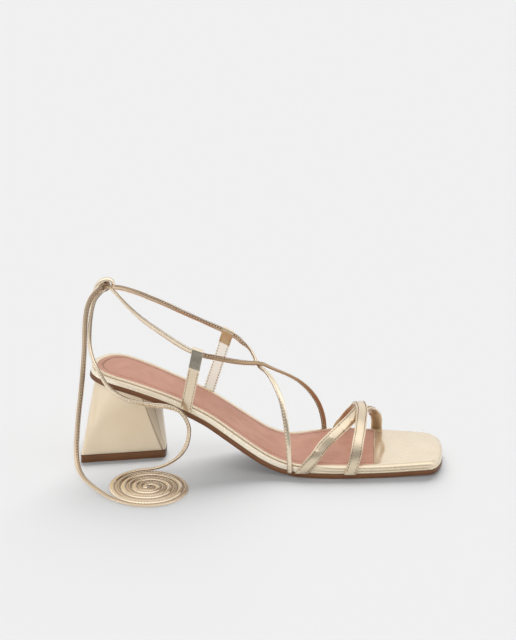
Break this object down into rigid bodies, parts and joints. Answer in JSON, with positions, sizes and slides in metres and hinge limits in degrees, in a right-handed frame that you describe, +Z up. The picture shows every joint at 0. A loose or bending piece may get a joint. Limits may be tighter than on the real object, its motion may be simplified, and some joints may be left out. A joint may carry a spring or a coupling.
{
  "type": "lace-up heeled sandal",
  "caption": "Heeled sandal with a square toe, crossed toe straps, side tabs, and a flat lace that crosses the instep and ties behind the ankle; flared block heel, lace ends coiled beside it.",
  "frame": {"origin": "middle of the bottom face of the heel lift, on the floor", "axes": "+X to the toe, +Y to the inner side of the foot (this is a right shoe), +Z up"},
  "size_m": [0.2379, 0.1344, 0.1191],
  "materials": {
    "gold_leather": "laminated metallic pale gold, glossy",
    "lace_leather": "narrow metallic pale gold lace, glossy, brown at its cut edges",
    "insole_leather": "matte dusty pink lining leather",
    "sole_leather": "brown, satin at its edge",
    "lift_rubber": "brown, matte"
  },
  "bodies": {
    "root": {"outsole": "sole_leather", "platform": "gold_leather", "insole": "insole_leather", "heel": "gold_leather", "heel_lift": "lift_rubber", "toe_straps": "gold_leather", "tab_outer": "gold_leather", "tab_inner": "gold_leather", "lace_crossing": "lace_leather", "lace_knot": "lace_leather", "lace_end_outer": "lace_leather", "lace_end_inner": "lace_leather", "lace_coil": "lace_leather"}
  },
  "joints": []
}
